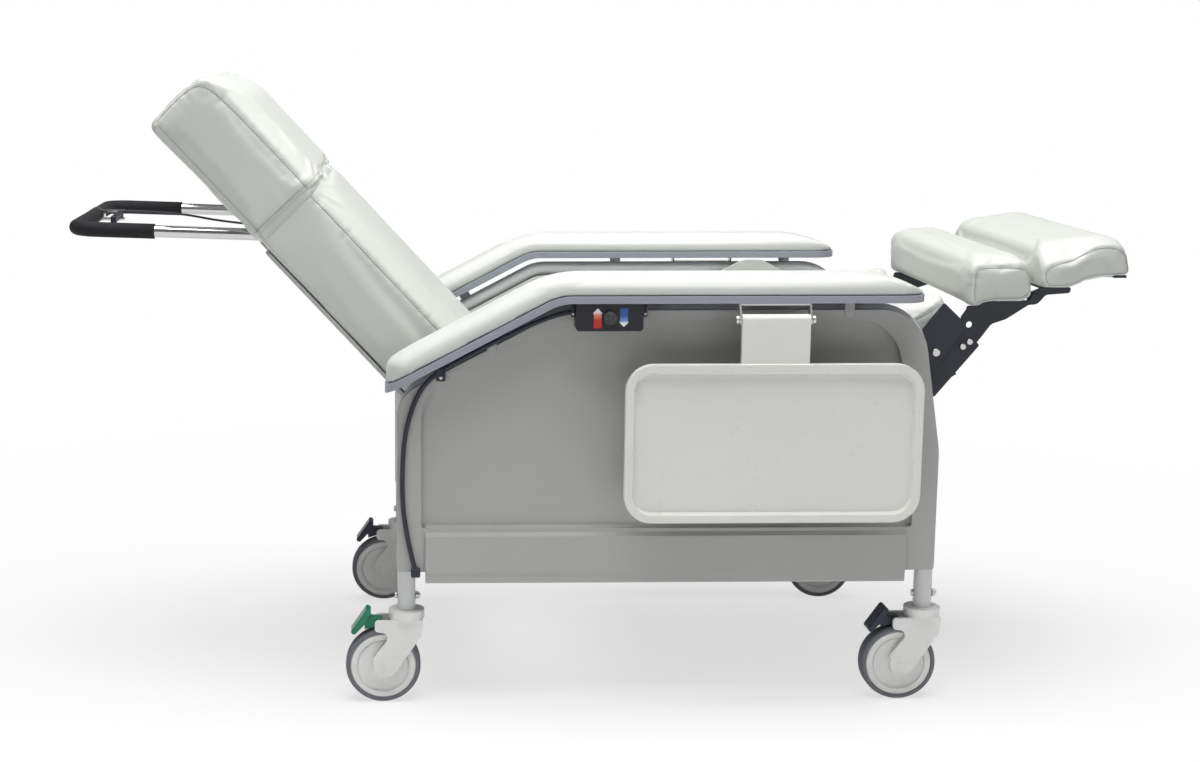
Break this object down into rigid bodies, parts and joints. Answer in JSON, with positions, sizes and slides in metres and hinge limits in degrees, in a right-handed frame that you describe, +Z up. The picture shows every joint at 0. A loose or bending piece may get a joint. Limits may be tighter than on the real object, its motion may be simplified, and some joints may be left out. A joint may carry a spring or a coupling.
{
  "type": "medical recliner",
  "caption": "Rolling clinical recliner with padded back, seat and legrest, side panels, fold-up side trays, push handle with release lever and braked casters.",
  "frame": {"origin": "on the floor, under the middle of the reclined chair's length and width", "axes": "+X towards the foot pad, +Y to the sitter's left, +Z up"},
  "size_m": [1.7695, 0.8, 1.0375],
  "materials": {
    "vinyl": "satin",
    "arm_vinyl": "satin",
    "arm_board": "satin",
    "panel_grey": "satin",
    "tray_white": "satin",
    "frame_paint": "gloss",
    "zinc": "satin",
    "chrome_tube": "polished",
    "dark_steel": "satin",
    "grip_foam": "matte",
    "control_plastic": "satin",
    "cable_sheath": "satin",
    "caster_white": "satin",
    "caster_tyre": "matte",
    "pedal_green": "satin",
    "pedal_dark": "satin",
    "board_grey": "satin"
  },
  "bodies": {
    "base": {"right_side_frame": "frame_paint", "left_side_frame": "frame_paint", "front_cross_tube": "frame_paint", "rear_cross_tube": "frame_paint", "right_side_panel": "panel_grey", "left_side_panel": "panel_grey", "right_side_liner": "vinyl", "left_side_liner": "vinyl", "right_arm_base": "arm_board", "left_arm_base": "arm_board", "right_arm_pad": "arm_vinyl", "left_arm_pad": "arm_vinyl", "right_tray_bracket": "zinc", "left_tray_bracket": "zinc", "tray_pins": "zinc", "control_housing": "control_plastic", "control_cable": "cable_sheath", "caster_stems": "zinc", "caster_bolts": "zinc"},
    "control_knob": {"control_knob": "control_plastic"},
    "right_tray": {"right_tray": "tray_white"},
    "left_tray": {"left_tray": "tray_white"},
    "gas_cylinder": {"gas_spring_cylinder": "dark_steel"},
    "gas_rod": {"gas_spring_rod": "chrome_tube"},
    "seat": {"seat_frame": "dark_steel", "seat_cushion": "vinyl", "right_seat_plate": "dark_steel", "left_seat_plate": "dark_steel", "back_hinge_pins": "zinc", "legrest_pivots": "zinc"},
    "legrest": {"right_swing_plate": "dark_steel", "left_swing_plate": "dark_steel", "legrest_frame": "dark_steel", "calf_pad": "vinyl", "legrest_bolts": "zinc"},
    "foot": {"foot_bracket": "dark_steel", "foot_pad": "vinyl"},
    "back": {"push_handle_frame": "chrome_tube", "back_board": "board_grey", "back_cushion": "vinyl", "head_cushion": "vinyl", "handle_grip": "grip_foam", "release_cable": "cable_sheath"},
    "release_lever": {"release_lever": "dark_steel"},
    "rear_right_fork": {"rear_right_fork": "caster_white"},
    "rear_right_wheel": {"rear_right_rim": "caster_white", "rear_right_tyre": "caster_tyre"},
    "rear_right_pedal": {"rear_right_pedal": "pedal_green"},
    "rear_left_fork": {"rear_left_fork": "caster_white"},
    "rear_left_wheel": {"rear_left_rim": "caster_white", "rear_left_tyre": "caster_tyre"},
    "rear_left_pedal": {"rear_left_pedal": "pedal_dark"},
    "front_right_fork": {"front_right_fork": "caster_white"},
    "front_right_wheel": {"front_right_rim": "caster_white", "front_right_tyre": "caster_tyre"},
    "front_right_pedal": {"front_right_pedal": "pedal_dark"},
    "front_left_fork": {"front_left_fork": "caster_white"},
    "front_left_wheel": {"front_left_rim": "caster_white", "front_left_tyre": "caster_tyre"},
    "front_left_pedal": {"front_left_pedal": "pedal_dark"}
  },
  "joints": [
    {"name": "seat_tilt", "type": "hinge", "parent": "base", "child": "seat", "pos_m": [0.059, 0, 0.4], "axis": [0, 1, 0], "range_deg": [0, 22]},
    {"name": "back_recline", "type": "hinge", "parent": "seat", "child": "back", "pos_m": [-0.071, 0, 0.3], "axis": [0, -1, 0], "range_deg": [0, 32]},
    {"name": "legrest_swing", "type": "hinge", "parent": "seat", "child": "legrest", "pos_m": [0.553, 0, 0.579], "axis": [0, 1, 0], "range_deg": [0, 66]},
    {"name": "foot_pad_fold", "type": "hinge", "parent": "legrest", "child": "foot", "pos_m": [0.716, 0, 0.667], "axis": [0, 1, 0], "range_deg": [0, 22]},
    {"name": "gas_spring_swing", "type": "hinge", "parent": "base", "child": "gas_cylinder", "pos_m": [-0.311, 0, 0.24], "axis": [0, -1, 0], "range_deg": [0, 7.63]},
    {"name": "gas_spring_stroke", "type": "slide", "parent": "gas_cylinder", "child": "gas_rod", "axis": [0.9959, 0, -0.0908], "range_m": [-0.0654, 0]},
    {"name": "release_lever_squeeze", "type": "hinge", "parent": "back", "child": "release_lever", "pos_m": [-0.838, 0.04, 0.785], "axis": [0, 0, -1], "range_deg": [0, 9], "stiffness_Nm_per_rad": 0.6, "springref_deg": -5.73},
    {"name": "control_knob_turn", "type": "hinge", "parent": "base", "child": "control_knob", "pos_m": [-0.007, -0.376, 0.6567], "axis": [0, -1, 0], "range_deg": [-60, 60]},
    {"name": "right_tray_lift", "type": "hinge", "parent": "base", "child": "right_tray", "pos_m": [0.257, -0.385, 0.654], "axis": [-1, 0, 0], "range_deg": [0, 90]},
    {"name": "left_tray_lift", "type": "hinge", "parent": "base", "child": "left_tray", "pos_m": [0.257, 0.385, 0.654], "axis": [1, 0, 0], "range_deg": [0, 90]},
    {"name": "rear_right_swivel", "type": "hinge", "parent": "base", "child": "rear_right_fork", "pos_m": [-0.331, -0.305, 0.15], "axis": [0, 0, 1], "continuous": true},
    {"name": "rear_right_roll", "type": "hinge", "parent": "rear_right_fork", "child": "rear_right_wheel", "pos_m": [-0.37, -0.305, 0.0625], "axis": [0, 1, 0], "continuous": true},
    {"name": "rear_right_brake", "type": "hinge", "parent": "rear_right_fork", "child": "rear_right_pedal", "pos_m": [-0.377, -0.305, 0.138], "axis": [0, -1, 0], "range_deg": [0, 9]},
    {"name": "rear_left_swivel", "type": "hinge", "parent": "base", "child": "rear_left_fork", "pos_m": [-0.331, 0.305, 0.15], "axis": [0, 0, 1], "continuous": true},
    {"name": "rear_left_roll", "type": "hinge", "parent": "rear_left_fork", "child": "rear_left_wheel", "pos_m": [-0.37, 0.305, 0.0625], "axis": [0, 1, 0], "continuous": true},
    {"name": "rear_left_brake", "type": "hinge", "parent": "rear_left_fork", "child": "rear_left_pedal", "pos_m": [-0.377, 0.305, 0.138], "axis": [0, -1, 0], "range_deg": [0, 9]},
    {"name": "front_right_swivel", "type": "hinge", "parent": "base", "child": "front_right_fork", "pos_m": [0.533, -0.305, 0.15], "axis": [0, 0, 1], "continuous": true},
    {"name": "front_right_roll", "type": "hinge", "parent": "front_right_fork", "child": "front_right_wheel", "pos_m": [0.494, -0.305, 0.0625], "axis": [0, 1, 0], "continuous": true},
    {"name": "front_right_brake", "type": "hinge", "parent": "front_right_fork", "child": "front_right_pedal", "pos_m": [0.487, -0.305, 0.138], "axis": [0, -1, 0], "range_deg": [0, 9]},
    {"name": "front_left_swivel", "type": "hinge", "parent": "base", "child": "front_left_fork", "pos_m": [0.533, 0.305, 0.15], "axis": [0, 0, 1], "continuous": true},
    {"name": "front_left_roll", "type": "hinge", "parent": "front_left_fork", "child": "front_left_wheel", "pos_m": [0.494, 0.305, 0.0625], "axis": [0, 1, 0], "continuous": true},
    {"name": "front_left_brake", "type": "hinge", "parent": "front_left_fork", "child": "front_left_pedal", "pos_m": [0.487, 0.305, 0.138], "axis": [0, -1, 0], "range_deg": [0, 9]}
  ],
  "couplings": [
    {"joint": "legrest_swing", "follows": "seat_tilt", "ratio": 3},
    {"joint": "foot_pad_fold", "follows": "seat_tilt", "ratio": 1},
    {"joint": "gas_spring_swing", "follows": "seat_tilt", "ratio": 0.34648},
    {"joint": "gas_spring_stroke", "follows": "seat_tilt", "m_per_rad": -0.17017}
  ]
}
